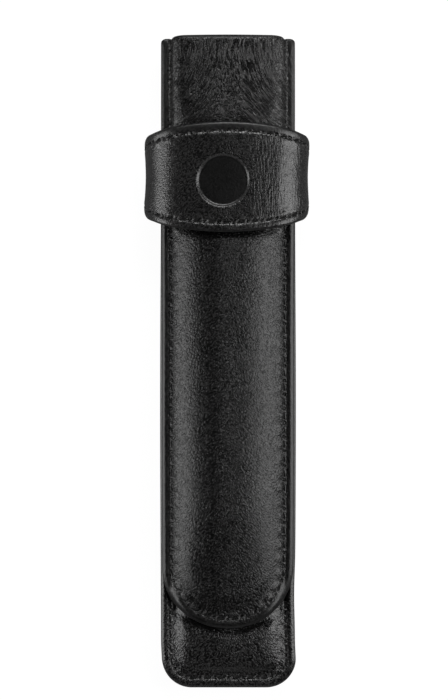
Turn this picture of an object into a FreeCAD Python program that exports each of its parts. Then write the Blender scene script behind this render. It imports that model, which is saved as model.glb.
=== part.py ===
import FreeCAD, Part
import math
import os

os.makedirs("parts", exist_ok=True)
V = FreeCAD.Vector

# Driving sizes in mm. X is the width, Y the length towards the fold, Z up out of the front.
case_length = 160.0
body_width = 32.8
bottom_corner_r = 7.3
leather_t = 1.1
lining_t = 0.6
pocket_depth_back = 5.8
pocket_depth_front = 4.9
pocket_inset = 3.6
lining_inset = 3.1
leather_inset = 2.7
mouth_drop = 8.0
pocket_end_length = 15.0

flap_gap = 0.5
padding_t = 0.8
padding_inset = 3.9
tongue_foot_inset = 2.6
tongue_under_inset = 2.5
fold_depth = 10.0
fold_corner_r = 6.0
fold_rim_drop = 0.9
tongue_length = 145.2
tongue_tip_length = 14.2

loop_drop = 35.05
loop_overhang = 3.75
loop_half_height = 13.45
loop_edge_r = 70.0
loop_gap = 0.4
loop_lining_t = 0.7
loop_bend_r = 2.0
loop_tab_half = 8.0
loop_tab_reach = 3.5
loop_tab_t = 0.55
loop_skive = 0.4
tab_clearance = 0.2
disc_r = 6.4
disc_depth = 0.25
disc_x = -1.3
disc_drop = 0.85

stitch_pitch = 3.5
stitch_length = 2.5
stitch_width = 0.5
stitch_height = 0.25
stitch_inset = 2.3
loop_stitch_inset = 2.2
stitch_lift = 0.02
hem_spread = 1.5
cut_margin = 1.0

# How steeply a panel leaves its seam and where its shoulder meets the crown, in degrees
front_shape = (52.0, 16.0)
back_shape = (75.0, 0.0)
loop_shape = (90.0, 10.0)

# Derived sizes
half_w = body_width / 2
half_l = case_length / 2
rim_t = leather_t + lining_t
seam_z = pocket_depth_back + rim_t
mouth_y = half_l - mouth_drop
fold_y = half_l - fold_depth
tip_y = half_l - tongue_length
tongue_rim = rim_t + flap_gap
tongue_leather_base = tongue_rim + lining_t
tongue_top = pocket_depth_front + rim_t + flap_gap + lining_t + padding_t + leather_t
loop_t = leather_t + loop_lining_t
loop_width = body_width + 2 * loop_overhang
loop_edge_bow = 1 / (2 * loop_edge_r)
loop_top = tongue_top + loop_gap + loop_t
loop_centre_y = half_l - loop_drop
disc_y = loop_centre_y - disc_drop


class Arch:
    """A crowned curve: shoulder arc, crown arc or flat, shoulder arc, standing on z = base."""

    def __init__(self, foot, base, top, shape):
        steep, crown = (math.radians(a) for a in shape)
        self.foot, self.base, self.top = foot, base, top
        rise = top - base
        s0, c0, s1, c1 = math.sin(steep), math.cos(steep), math.sin(crown), math.cos(crown)
        if crown == 0:
            self.r = rise / (1 - c0)
            self.half = foot - self.r * s0
            self.crown_r = None
            half_z = rise
        else:
            k = s1 / (1 - c1)
            self.r = (rise * k - foot) / ((c1 - c0) * k - (s0 - s1))
            self.crown_r = (foot - self.r * (s0 - s1)) / s1
            self.half = self.crown_r * s1
            half_z = rise - self.crown_r * (1 - c1)
        self.crown, self.steep = crown, steep
        self.centre = (self.half - self.r * s1, base + half_z - self.r * c1)
        mid = (steep + crown) / 2
        shoulder = (self.centre[0] + self.r * math.sin(mid), self.centre[1] + self.r * math.cos(mid))
        self.points = [(0, top), (self.half, base + half_z), shoulder, (foot, base)]

    def z(self, x):
        """Height over the seam plane at x, the base level outside the feet."""
        x = abs(x)
        if x >= self.foot:
            return self.base
        if x <= self.half:
            if self.crown_r is None:
                return self.top
            return self.top - self.crown_r + math.sqrt(self.crown_r ** 2 - x * x)
        return self.centre[1] + math.sqrt(max(self.r ** 2 - (x - self.centre[0]) ** 2, 0))

    def edges(self, y, up=1, share=1.0, squeeze=0.0):
        """Edges from the left foot to the right one at station y; share flattens, squeeze narrows."""
        k = (self.foot - squeeze) / self.foot

        def at(point, side):
            return V(side * k * point[0], y, seam_z + up * (self.base + share * (point[1] - self.base)))

        top, half, shoulder, foot = self.points
        out = [Part.Arc(at(foot, -1), at(shoulder, -1), at(half, -1)).toShape()]
        if self.crown_r is None:
            out.append(Part.makeLine(at(half, -1), at(half, 1)))
        else:
            out.append(Part.Arc(at(half, -1), at(top, 1), at(half, 1)).toShape())
        out.append(Part.Arc(at(half, 1), at(shoulder, 1), at(foot, 1)).toShape())
        return out

    def at_length(self, u):
        """Point and tilt at arc length u from the crown's middle."""
        side = 1 if u >= 0 else -1
        u = abs(u)
        run = self.crown_r * self.crown
        if u <= run:
            a = u / self.crown_r
            return side * self.crown_r * math.sin(a), self.top - self.crown_r * (1 - math.cos(a)), side * a
        a = self.crown + (u - run) / self.r
        return side * (self.centre[0] + self.r * math.sin(a)), self.centre[1] + self.r * math.cos(a), side * a

    def half_length(self):
        return self.crown_r * self.crown + self.r * (self.steep - self.crown)


def region(arch, y, up=1, share=1.0, squeeze=0.0):
    """Closed wire between the seam plane and an arch."""
    edges = arch.edges(y, up, share, squeeze)
    left, right = edges[0].Vertexes[0].Point, edges[-1].Vertexes[-1].Point
    low_left, low_right = V(left.x, y, seam_z), V(right.x, y, seam_z)
    if arch.base > 0:
        edges = [Part.makeLine(low_left, left)] + edges + [Part.makeLine(right, low_right)]
    return Part.Wire(edges + [Part.makeLine(low_right, low_left)])


def bulge(arch, inset, up, y_open):
    """The space under an arch from y_open down to the sewn end, where it flattens into the seam."""
    y_end = -half_l + inset
    y_turn = y_end + pocket_end_length
    body = Part.Face(region(arch, y_open, up)).extrude(V(0, y_turn - y_open, 0))
    wires = []
    for t in (0.0, 0.35, 0.6, 0.8, 0.92, 1.0):
        share = math.sqrt(1 - (0.985 * t) ** 2)
        squeeze = 0.6 * bottom_corner_r * t ** 6
        wires.append(region(arch, y_turn - t * pocket_end_length, up, share, squeeze))
    return body.fuse(Part.makeLoft(wires, True, True)).removeSplitter()


def prism(wire, z0, z1):
    """Upright prism on a flat outline drawn at z = 0."""
    wire.translate(V(0, 0, z0))
    return Part.Face(wire).extrude(V(0, 0, z1 - z0))


def body_outline(y_top, inset=0.0):
    """Outline of the pouch: square at y_top, round corners at the bottom."""
    w, low, r = half_w - inset, -half_l + inset, bottom_corner_r - inset
    k = r * (1 - math.sqrt(0.5))
    p = [V(-w, y_top, 0), V(-w, low + r, 0), V(-w + r, low, 0)]
    q = [V(w - r, low, 0), V(w, low + r, 0), V(w, y_top, 0)]
    return [
        Part.makeLine(p[0], p[1]),
        Part.Arc(p[1], V(-w + k, low + k, 0), p[2]).toShape(),
        Part.makeLine(p[2], q[0]),
        Part.Arc(q[0], V(w - k, low + k, 0), q[1]).toShape(),
        Part.makeLine(q[1], q[2]),
    ]


def tongue_outline(y_top, inset=0.0):
    """Outline of the tongue: square at y_top, half an ellipse at the tip."""
    w, tip = half_w - inset, tongue_tip_length - inset
    y_side = tip_y + tongue_tip_length
    if w >= tip:
        ellipse = Part.Ellipse(V(0, y_side, 0), w, tip)
        curve = Part.ArcOfEllipse(ellipse, math.pi, 2 * math.pi).toShape()
    else:
        ellipse = Part.Ellipse(V(0, y_side - tip, 0), V(w, y_side, 0), V(0, y_side, 0))
        curve = Part.ArcOfEllipse(ellipse, -math.pi / 2, math.pi / 2).toShape()
    return [
        Part.makeLine(V(-w, y_top, 0), V(-w, y_side, 0)),
        curve,
        Part.makeLine(V(w, y_side, 0), V(w, y_top, 0)),
    ]


def closed(edges):
    """Close an open run of edges with a straight line."""
    wire = Part.Wire(Part.sortEdges(edges)[0])
    ends = [v.Point for v in wire.OrderedVertexes]
    return Part.Wire(wire.Edges + [Part.makeLine(ends[-1], ends[0])])


def rim_plate(y_top, z0, z1):
    return prism(closed(body_outline(y_top)), z0, z1)


def panel(outer, inner, outer_inset, inner_inset, up, y_top, z_in, z_out):
    """One layer of a pouch panel: the shell between two arches, with its flat rim."""
    low, high = sorted((seam_z + up * z_in, seam_z + up * z_out))
    shell = bulge(outer, outer_inset, up, y_top).fuse(rim_plate(y_top, low, high))
    shell = shell.cut(bulge(inner, inner_inset, up, y_top + cut_margin))
    if z_in > 0:
        shell = shell.cut(rim_plate(y_top, *sorted((seam_z, seam_z + up * z_in))))
    return shell.removeSplitter()


# Arches of every layer, heights counted from the seam plane
pocket_w, lining_w, leather_w = half_w - pocket_inset, half_w - lining_inset, half_w - leather_inset
front_in = Arch(pocket_w, 0, pocket_depth_front, front_shape)
front_mid = Arch(lining_w, lining_t, pocket_depth_front + lining_t, front_shape)
front_out = Arch(leather_w, rim_t, pocket_depth_front + rim_t, front_shape)
back_in = Arch(pocket_w, 0, pocket_depth_back, back_shape)
back_mid = Arch(lining_w, lining_t, pocket_depth_back + lining_t, back_shape)
back_out = Arch(leather_w, rim_t, seam_z, back_shape)

under_w, foot_w = half_w - tongue_under_inset, half_w - tongue_foot_inset
under_top = pocket_depth_front + rim_t + flap_gap
tongue_in = Arch(under_w, tongue_rim, under_top, front_shape)
tongue_mid = Arch(under_w, tongue_leather_base, under_top + lining_t, front_shape)
padding_out = Arch(under_w, tongue_leather_base, tongue_top - leather_t, front_shape)
tongue_out = Arch(foot_w, tongue_leather_base + leather_t, tongue_top, front_shape)

# Pouch: two panels, each leather over lining
back_lining = panel(back_mid, back_in, lining_inset, pocket_inset, -1, fold_y, 0, lining_t)
back_leather = panel(back_out, back_mid, leather_inset, lining_inset, -1, fold_y, lining_t, rim_t)
front_lining = panel(front_mid, front_in, lining_inset, pocket_inset, 1, mouth_y, 0, lining_t)
front_leather = panel(front_out, front_mid, leather_inset, lining_inset, 1, mouth_y, lining_t, rim_t)


# Tongue: crowned sections drawn along the length and trimmed to the tongue's outline
def tongue_section(arch, width):
    """The crowned section with its rims, down to the seam plane."""
    edges = arch.edges(fold_y)
    z = seam_z + arch.base
    left, right = edges[0].Vertexes[0].Point, edges[-1].Vertexes[-1].Point
    corners = [right, V(width, fold_y, z), V(width, fold_y, seam_z), V(-width, fold_y, seam_z)]
    corners += [V(-width, fold_y, z), left]
    run = [Part.makeLine(a, b) for a, b in zip(corners, corners[1:])]
    return Part.Face(Part.Wire(edges + run)).extrude(V(0, -tongue_length, 0))


wide = half_w + cut_margin
tongue_plan = prism(closed(tongue_outline(fold_y)), 0, seam_z + loop_top)
padding_plan = prism(closed(tongue_outline(fold_y, padding_inset)), 0, seam_z + loop_top)
hollow, lined = tongue_section(tongue_in, wide), tongue_section(tongue_mid, wide)
filled, covered = tongue_section(padding_out, wide), tongue_section(tongue_out, wide)
tongue_lining = lined.cut(hollow).common(tongue_plan)
tongue_padding = filled.cut(lined).common(padding_plan)
tongue_leather = covered.cut(lined).common(tongue_plan).cut(tongue_padding)


# Fold: the whole crowned section carried over the top end, rounded off there and hollowed
def fold_space(back, front, skip, width):
    """The space inside the turn's outer face, skip deep below the leather's outside."""
    top, low = front.edges(fold_y), back.edges(fold_y, -1)
    right = [top[-1].Vertexes[-1].Point, V(width, fold_y, seam_z + front.base)]
    right += [V(width, fold_y, seam_z - back.base), low[-1].Vertexes[-1].Point]
    left = [V(-p.x, p.y, p.z) for p in right]
    rims = [Part.makeLine(a, b) for run in (right, left) for a, b in zip(run, run[1:])]
    section = Part.Face(Part.Wire(Part.sortEdges(top + low + rims)[0])).extrude(V(0, fold_depth, 0))

    end, r = half_l - skip, fold_corner_r - skip
    k = r * (1 - math.sqrt(0.5))
    z0, z1 = seam_z - back.top, seam_z + front.top
    side = [
        Part.makeLine(V(-width, fold_y, z0), V(-width, end - r, z0)),
        Part.Arc(V(-width, end - r, z0), V(-width, end - k, z0 + k), V(-width, end, z0 + r)).toShape(),
        Part.makeLine(V(-width, end, z0 + r), V(-width, end, z1 - r)),
        Part.Arc(V(-width, end, z1 - r), V(-width, end - k, z1 - k), V(-width, end - r, z1)).toShape(),
        Part.makeLine(V(-width, end - r, z1), V(-width, fold_y, z1)),
    ]
    rounded = Part.Face(closed(side)).extrude(V(2 * width, 0, 0))

    drop = V(0, fold_rim_drop, 0)
    shoulder, rim = V(front.half, end, 0), V(front.foot, end, 0) - drop
    across = [
        Part.makeLine(V(-width, fold_y, 0), V(-width, rim.y, 0)),
        Part.makeLine(V(-width, rim.y, 0), V(-rim.x, rim.y, 0)),
        Part.makeLine(V(-rim.x, rim.y, 0), V(-shoulder.x, end, 0)),
        Part.makeLine(V(-shoulder.x, end, 0), shoulder),
        Part.makeLine(shoulder, rim),
        Part.makeLine(rim, V(width, rim.y, 0)),
        Part.makeLine(V(width, rim.y, 0), V(width, fold_y, 0)),
    ]
    plan = prism(closed(across), z0 - cut_margin, z1 + cut_margin)
    return section.common(rounded).common(plan)


fold_core = fold_space(back_mid, padding_out, leather_t, wide)
fold_leather = fold_space(back_out, tongue_out, 0, half_w).cut(fold_core)
fold_hollow = fold_space(back_in, tongue_in, rim_t, wide)
fold_lining = fold_space(back_mid, padding_out, leather_t, half_w).cut(fold_hollow)

# Loop: a strap bent over the tongue, its skived ends caught between the two panels
strap_out = Arch(loop_width / 2, loop_bend_r, loop_top, loop_shape)
strap_mid = Arch(loop_width / 2 - leather_t, loop_bend_r, loop_top - leather_t, loop_shape)
strap_in = Arch(loop_width / 2 - loop_t, loop_bend_r, loop_top - loop_t, loop_shape)
bend_x = loop_width / 2 - loop_bend_r
strap_y = loop_centre_y - loop_half_height


def strap_edge(u):
    """Half the strap's height at arc length u from its middle."""
    return loop_half_height - loop_edge_bow * u * u


def bend(side, r):
    """Quarter turn from the strap's side down to its lower run."""
    z = seam_z + loop_bend_r
    k = r * math.sqrt(0.5)
    start, mid = V(side * (bend_x + r), strap_y, z), V(side * (bend_x + k), strap_y, z - k)
    return Part.Arc(start, mid, V(side * bend_x, strap_y, z - r)).toShape()


def line(points):
    run = [V(x, strap_y, seam_z + z) for x, z in points]
    return [Part.makeLine(a, b) for a, b in zip(run, run[1:])]


def strap_solid(edges):
    face = Part.Face(Part.Wire(Part.sortEdges(edges)[0]))
    return face.extrude(V(0, 2 * loop_half_height, 0))


tab_x = half_w - loop_tab_reach
skive_x = half_w + loop_skive
strap_edges = strap_out.edges(strap_y) + strap_mid.edges(strap_y)
lining_edges = strap_mid.edges(strap_y) + strap_in.edges(strap_y)
for side in (-1, 1):
    strap_edges += [bend(side, loop_bend_r), bend(side, loop_bend_r - leather_t)]
    tab = [(bend_x, 0), (tab_x, 0), (tab_x, loop_tab_t), (skive_x, loop_tab_t), (bend_x, leather_t)]
    strap_edges += line([(side * x, z) for x, z in tab])
    lining_edges += [bend(side, loop_bend_r - leather_t), bend(side, loop_bend_r - loop_t)]
    lining_edges += line([(side * bend_x, leather_t), (side * bend_x, loop_t)])

side_u = strap_out.half_length()
corner_u = strap_out.crown_r * strap_out.crown
mid_u = (side_u + corner_u) / 2
plan = []
for up in (1, -1):
    at = [(strap_out.at_length(u)[0], strap_edge(u)) for u in (0, corner_u, mid_u, side_u)]
    centre, corner, mid, side_point = (V(x, loop_centre_y + up * h, 0) for x, h in at)
    left = [V(-p.x, p.y, 0) for p in (corner, mid, side_point)]
    plan.append(Part.Arc(left[0], centre, corner).toShape())
    plan.append(Part.Arc(corner, mid, side_point).toShape())
    plan.append(Part.Arc(left[0], left[1], left[2]).toShape())
side_h = strap_edge(side_u)
for x in (-loop_width / 2, loop_width / 2):
    plan.append(Part.makeLine(V(x, loop_centre_y - side_h, 0), V(x, loop_centre_y + side_h, 0)))
upper = prism(Part.Wire(Part.sortEdges(plan)[0]), seam_z + loop_bend_r, seam_z + loop_top + cut_margin)
lower = Part.makeBox(
    loop_width, 2 * loop_tab_half, loop_bend_r, V(-loop_width / 2, loop_centre_y - loop_tab_half, seam_z)
)
trim = upper.fuse(lower)
loop_leather = strap_solid(strap_edges).common(trim)
loop_lining = strap_solid(lining_edges).common(trim)

# Plain pressed disc in the middle of the loop
disc = Part.makeCylinder(disc_r, 2 * loop_t, V(disc_x, disc_y, seam_z + loop_top - loop_t))
crown = Part.Face(region(strap_out, strap_y)).extrude(V(0, 2 * loop_half_height, 0))
pressed = crown.copy()
pressed.translate(V(0, 0, -disc_depth))
loop_leather = loop_leather.cut(disc.common(crown).cut(pressed))

# The front lining leaves room for the loop's ends
notch_half = loop_tab_half + tab_clearance
notch_reach = loop_tab_reach + tab_clearance
for x in (-half_w, half_w - notch_reach):
    corner = V(x, loop_centre_y - notch_half, seam_z)
    front_lining = front_lining.cut(Part.makeBox(notch_reach, 2 * notch_half, lining_t, corner))


# Thread: each seam is a row of short straight stitches lying on the leather
def stitch(middle, along, out):
    """One stitch with its underside through middle."""
    along = V(along).normalize()
    out = (out - along * out.dot(along)).normalize()
    across = out.cross(along)
    bar = Part.makeBox(
        stitch_length, stitch_width, stitch_height, V(-stitch_length / 2, -stitch_width / 2, 0)
    )
    bar.Placement = FreeCAD.Placement(middle, FreeCAD.Rotation(along, across, out, "XZY"))
    return bar


def spaced(edges, pitch):
    """Points and directions at even steps along a flat path, ends left free by half a step."""
    path = Part.Wire(Part.sortEdges(edges)[0])
    n = max(int(path.Length / pitch), 2)
    fine = path.discretize(Number=4 * n + 1)
    return [(fine[4 * i + 2], fine[4 * i + 3] - fine[4 * i + 1]) for i in range(n)]


def on_arch(arch, edges):
    """Stitches along a plan path, laid on an arch's surface."""
    bars = []
    for p, d in spaced(edges, stitch_pitch):
        d = V(d).normalize()
        slope = (arch.z(p.x + 0.3) - arch.z(p.x - 0.3)) / 0.6
        along = V(d.x, d.y, slope * d.x).normalize()
        out = V(-slope, 0, 1)
        middle = V(p.x, p.y, seam_z + arch.z(p.x))
        bar = stitch(middle, along, out)
        low = sorted(bar.Vertexes, key=lambda v: v.Point.z - slope * v.Point.x)[:4]
        sink = max(seam_z + arch.z(v.Point.x) - v.Point.z for v in low)
        bar.translate(V(0, 0, max(sink, 0) + stitch_lift))
        bars.append(bar)
    return bars


seam_path = body_outline(mouth_y, stitch_inset)
front_rim, back_rim = seam_z + rim_t, seam_z - rim_t
seam_bars = []
for p, d in spaced(seam_path, stitch_pitch):
    seam_bars.append(stitch(V(p.x, p.y, front_rim), d, V(0, 0, 1)))
    if p.y < fold_y - stitch_length:
        seam_bars.append(stitch(V(p.x, p.y, back_rim), d, V(0, 0, -1)))
pouch_seam_thread = Part.makeCompound(seam_bars)

hem_y = mouth_y - stitch_inset
hem_half = front_out.half + hem_spread
hem_path = [Part.makeLine(V(-hem_half, hem_y, 0), V(hem_half, hem_y, 0))]
mouth_hem_thread = Part.makeCompound(on_arch(front_out, hem_path))

tongue_path = tongue_outline(fold_y, stitch_inset)
tongue_seam_thread = Part.makeCompound(on_arch(tongue_out, tongue_path))


def strap_row(up):
    """Stitches along one edge of the loop."""
    bars = []
    reach = side_u - stitch_length / 2
    n = int(2 * reach / stitch_pitch)
    for i in range(n + 1):
        u = (i - n / 2) * stitch_pitch
        x, z, tilt = strap_out.at_length(u)
        rise = -up * 2 * loop_edge_bow * u
        along = V(math.cos(tilt), rise, -math.sin(tilt))
        y = loop_centre_y + up * (strap_edge(u) - loop_stitch_inset)
        bars.append(stitch(V(x, y, seam_z + z), along, V(math.sin(tilt), 0, math.cos(tilt))))
    return Part.makeCompound(bars)


nodes = {
    "back_leather": back_leather,
    "back_lining": back_lining,
    "front_leather": front_leather,
    "front_lining": front_lining,
    "fold_leather": fold_leather,
    "fold_lining": fold_lining,
    "tongue_leather": tongue_leather,
    "tongue_padding": tongue_padding,
    "tongue_lining": tongue_lining,
    "loop_leather": loop_leather,
    "loop_lining": loop_lining,
    "pouch_seam_thread": pouch_seam_thread,
    "mouth_hem_thread": mouth_hem_thread,
    "tongue_seam_thread": tongue_seam_thread,
    "loop_upper_thread": strap_row(1),
    "loop_lower_thread": strap_row(-1),
}
for name, shape in nodes.items():
    shape.exportStep("parts/" + name + ".step")
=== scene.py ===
import math

import bmesh
import bpy
import numpy as np
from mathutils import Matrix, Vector


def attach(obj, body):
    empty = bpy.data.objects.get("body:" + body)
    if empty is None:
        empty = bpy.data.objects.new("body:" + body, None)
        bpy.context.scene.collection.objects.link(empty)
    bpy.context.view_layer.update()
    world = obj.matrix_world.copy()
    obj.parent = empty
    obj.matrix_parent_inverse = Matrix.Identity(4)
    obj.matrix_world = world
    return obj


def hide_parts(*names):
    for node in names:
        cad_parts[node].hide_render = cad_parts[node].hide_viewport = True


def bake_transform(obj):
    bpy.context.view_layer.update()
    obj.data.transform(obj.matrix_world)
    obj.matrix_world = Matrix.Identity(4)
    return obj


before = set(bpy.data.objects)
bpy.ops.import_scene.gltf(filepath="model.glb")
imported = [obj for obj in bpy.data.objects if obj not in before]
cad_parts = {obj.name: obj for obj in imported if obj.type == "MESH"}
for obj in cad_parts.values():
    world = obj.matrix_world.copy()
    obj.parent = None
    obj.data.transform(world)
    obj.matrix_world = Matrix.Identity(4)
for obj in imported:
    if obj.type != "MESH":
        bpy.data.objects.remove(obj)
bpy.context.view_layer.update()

# Sizes of the case in mm, as in the part's source.
# X is the width, Y the length, Z up out of the front.
MM = 0.001
half_w, half_l = 16.4, 80.0
seam_z = 7.5
leather_t, rim_t, loop_t = 1.1, 1.7, 1.8
corner_r = 7.3
mouth_y, fold_y = 72.0, 70.0
tip_y, tip_length = -65.2, 14.2
tip_side_y = tip_y + tip_length
# Below this the case lies flat, past the pen's end
pen_end_y = -58.0
loop_x, loop_y, loop_half = -0.3, 44.95, 13.45
loop_edge_r, loop_bend_r = 70.0, 1.3
disc_x, disc_y, disc_r, disc_depth = -1.2, 44.05, 6.25, 0.44
stitch_pitch, stitch_inset = 3.5, 2.35
loop_stitch_inset, hem_inset, pad_inset = 2.2, 2.3, 3.9
loop_stitch_shift = 0.5 * stitch_pitch
lining_inset = 0.15
lining_share = 1 - lining_inset / half_w
# How far above the bottom edge the pocket ends: its outer face, under the leather, its inner face
end_out, end_mid, end_in = 2.7, 3.1, 3.6
# Least thickness of the leather over what is under it, and how deep the thread sinks in
least_skin, thread_sink, loop_thread_sink = 0.1, 0.12, 0.1


def ease(lo, hi, v):
    """Smooth step from 0 at lo to 1 at hi."""
    t = np.clip((v - lo) / (hi - lo), 0, 1)
    return t * t * (3 - 2 * t)


def hump(v, middle, width):
    return np.exp(-(((v - middle) / width) ** 2))


def quarter_round(t):
    """Drop of a quarter circle, 0 at t = 0 and 1 at t = 1."""
    return 1 - np.sqrt(np.maximum(1 - t ** 2, 0))


def ripple(x, y, seed, wave):
    """Gentle unevenness of hand-worked leather, about -1 to 1."""
    rng = np.random.default_rng(seed)
    total = 0
    for _ in range(7):
        turn, phase = rng.uniform(0, 2 * math.pi, 2)
        k = 2 * math.pi / (wave * rng.uniform(0.7, 1.5))
        total = total + np.sin(k * (x * math.cos(turn) + y * math.sin(turn)) + phase)
    return total / 4


# Radius that stands for flat
flat_r = 1e6


class Crown:
    """Height of a crowned panel over the seam plane: shoulder arc, crown arc or flat, shoulder arc.

    foot is half the width of the raised part, base and top are its heights, steep is the slope at
    the foot and crown the slope where the crown arc meets the shoulder, both in degrees.
    """

    def __init__(self, foot, base, top, steep, crown):
        steep, crown = math.radians(steep), math.radians(crown)
        s0, c0, s1, c1 = math.sin(steep), math.cos(steep), math.sin(crown), math.cos(crown)
        rise = top - base
        if crown == 0:
            self.r = rise / (1 - c0)
            self.crown_r = flat_r
            self.half = foot - self.r * s0
            half_z = top
        else:
            k = s1 / (1 - c1)
            self.r = (rise * k - foot) / ((c1 - c0) * k - (s0 - s1))
            self.crown_r = (foot - self.r * (s0 - s1)) / s1
            self.half = self.crown_r * s1
            half_z = top - self.crown_r * (1 - c1)
        self.foot, self.base, self.top, self.crown, self.steep = foot, base, top, crown, steep
        self.cx, self.cz = self.half - self.r * s1, half_z - self.r * c1

    def sharp(self, x):
        x = np.abs(x)
        crown = self.top - self.crown_r + np.sqrt(np.maximum(self.crown_r ** 2 - x * x, 0))
        shoulder = self.cz + np.sqrt(np.maximum(self.r ** 2 - (x - self.cx) ** 2, 0))
        return np.where(x >= self.foot, self.base, np.where(x <= self.half, crown, shoulder))

    def __call__(self, x, soft=0.45):
        """The height with its corners worked soft."""
        shifts = np.linspace(-1.5, 1.5, 9)
        weights = np.exp(-shifts ** 2)
        parts = [w * self.sharp(x + soft * shift) for w, shift in zip(weights, shifts)]
        return sum(parts) / weights.sum()

    def at_length(self, u):
        """Place and tilt at arc length u from the middle."""
        side, u = np.sign(u), np.abs(u)
        run = self.crown_r * self.crown
        a = np.where(u <= run, u / self.crown_r, self.crown + (u - run) / self.r)
        x = np.where(u <= run, self.crown_r * np.sin(a), self.cx + self.r * np.sin(a))
        z_crown = self.top - self.crown_r * (1 - np.cos(a))
        z = np.where(u <= run, z_crown, self.cz + self.r * np.cos(a))
        return side * x, z, side * a

    def half_length(self):
        return self.crown_r * self.crown + self.r * (self.steep - self.crown)


# Faces of the panels: half width, height at the foot and the top, slopes at the foot and the crown
front_out = Crown(13.7, 1.7, 6.6, 52, 16)
front_mid = Crown(13.3, 0.6, 5.5, 52, 16)
front_in = Crown(12.8, 0.0, 4.9, 52, 16)
back_out = Crown(13.7, 1.7, 7.5, 75, 0)
back_mid = Crown(13.3, 0.6, 6.4, 75, 0)
back_in = Crown(12.8, 0.0, 5.8, 75, 0)
flap_out = Crown(13.9, 3.9, 9.6, 52, 16)
flap_flat = Crown(14.2, 3.9, 8.2, 86, 3.5)
flap_rim = Crown(13.9, 3.9, 8.8, 52, 16)
flap_tip = Crown(13.9, 3.9, 7.8, 50, 8)
flap_tip_rim = Crown(13.9, 3.9, 6.6, 45, 5)
padding_out = Crown(13.9, 2.8, 8.5, 52, 16)
flap_mid = Crown(13.9, 2.8, 7.7, 52, 16)
flap_in = Crown(13.9, 2.2, 7.1, 52, 16)
strap_out = Crown(20.15, loop_bend_r, 11.8, 90, 9)


# Plan layout
def spread(half, fine=0.14, coarse=0.75):
    """Places from -1 to 1 that crowd towards both edges of a panel."""
    inset = [0.0]
    while inset[-1] < half:
        inset.append(inset[-1] + fine + (coarse - fine) * float(ease(0.8, 6.0, inset[-1])))
    inset = np.array(inset) * half / inset[-1]
    right = 1 - inset[::-1] / half
    return np.concatenate([-right[:0:-1], right])


def steps(start, stop, pitch):
    return np.linspace(start, stop, int(abs(stop - start) / pitch) + 1)


def pouch_plan(s, y_top, pitch, turns):
    """Plan grid of the pouch from y_top to its bottom, with turns rows round the corners."""
    y_corner = -half_l + corner_r
    y_side = steps(y_top, y_corner, pitch)
    turn = np.linspace(0, math.pi / 2, turns)[1:]
    y = np.concatenate([y_side, y_corner - corner_r * np.sin(turn)])
    w = np.concatenate([np.full(len(y_side), half_w), half_w - corner_r + corner_r * np.cos(turn)])
    return w[:, None] * s[None, :], np.repeat(y[:, None], len(s), 1)


def pouch_inset(x, y):
    """Distance in from the pouch's outline."""
    qx = np.abs(x) - (half_w - corner_r)
    qy = -half_l + corner_r - y
    outside = np.hypot(np.maximum(qx, 0), np.maximum(qy, 0))
    return corner_r - outside - np.minimum(np.maximum(qx, qy), 0)


def pouch_run(x, y):
    """Signed length along the pouch's seam from the middle of its bottom."""
    flat, y_corner, r = half_w - corner_r, -half_l + corner_r, corner_r - stitch_inset
    ax = np.abs(x)
    turn = np.arctan2(np.maximum(ax - flat, 0), np.maximum(y_corner - y, 1e-9))
    run = np.where(ax < flat, ax, flat + r * turn)
    return np.sign(x) * np.where(y > y_corner, flat + r * math.pi / 2 + y - y_corner, run)


def pouch_seam_at(run):
    """Place and direction on the pouch's seam at a signed run."""
    flat, y_corner, r = half_w - corner_r, -half_l + corner_r, corner_r - stitch_inset
    side, a = np.sign(run), np.abs(run)
    turn = np.clip((a - flat) / r, 0, math.pi / 2)
    up = np.maximum(a - flat - r * math.pi / 2, 0)
    x = np.minimum(a, flat) + r * np.sin(turn)
    return side * x, y_corner - r * np.cos(turn) + up, np.cos(turn), side * np.sin(turn)


def flap_half(y):
    """The flap narrows a little towards its tip."""
    return half_w - 0.45 * ease(66.0, 0.0, y)


tip_half = float(flap_half(np.array(tip_side_y)))


def flap_plan(s, y_top, pitch):
    """Plan grid of the flap from y_top to its round tip, with no pole at the tip."""
    y_side = steps(y_top, tip_side_y, pitch)
    x = flap_half(y_side)[:, None] * s[None, :]
    y = np.repeat(y_side[:, None], len(s), 1)
    q = spread(2 * tip_length)
    q = q[q > 0][:, None]
    tip_x = tip_half * s[None, :] * np.sqrt(1 - q * q / 2)
    tip = tip_side_y - tip_length * q * np.sqrt(1 - s[None, :] ** 2 / 2)
    return np.vstack([x, tip_x]), np.vstack([y, tip])


def flap_inset(x, y):
    """Distance in from the flap's outline."""
    a, b = x / tip_half, np.maximum(tip_side_y - y, 0) / tip_length
    rho = np.maximum(np.hypot(a, b), 1e-6)
    slope = np.hypot(a / tip_half, b / tip_length) / rho
    return np.where(y > tip_side_y, flap_half(y) - np.abs(x), (1 - rho) / np.maximum(slope, 1e-6))


tip_turns = np.linspace(0, math.pi / 2, 400)
seam_half, seam_length = tip_half - stitch_inset, tip_length - stitch_inset
tip_arc = np.hypot(seam_half * np.cos(tip_turns), seam_length * np.sin(tip_turns))
tip_runs = np.concatenate([[0], np.cumsum((tip_arc[1:] + tip_arc[:-1]) / 2 * np.diff(tip_turns))])


def flap_run(x, y):
    """Signed length along the flap's seam from its tip."""
    turn = np.arctan2(np.abs(x) / tip_half, np.maximum(tip_side_y - y, 0) / tip_length)
    run = np.interp(turn, tip_turns, tip_runs)
    return np.sign(x) * np.where(y > tip_side_y, tip_runs[-1] + y - tip_side_y, run)


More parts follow.
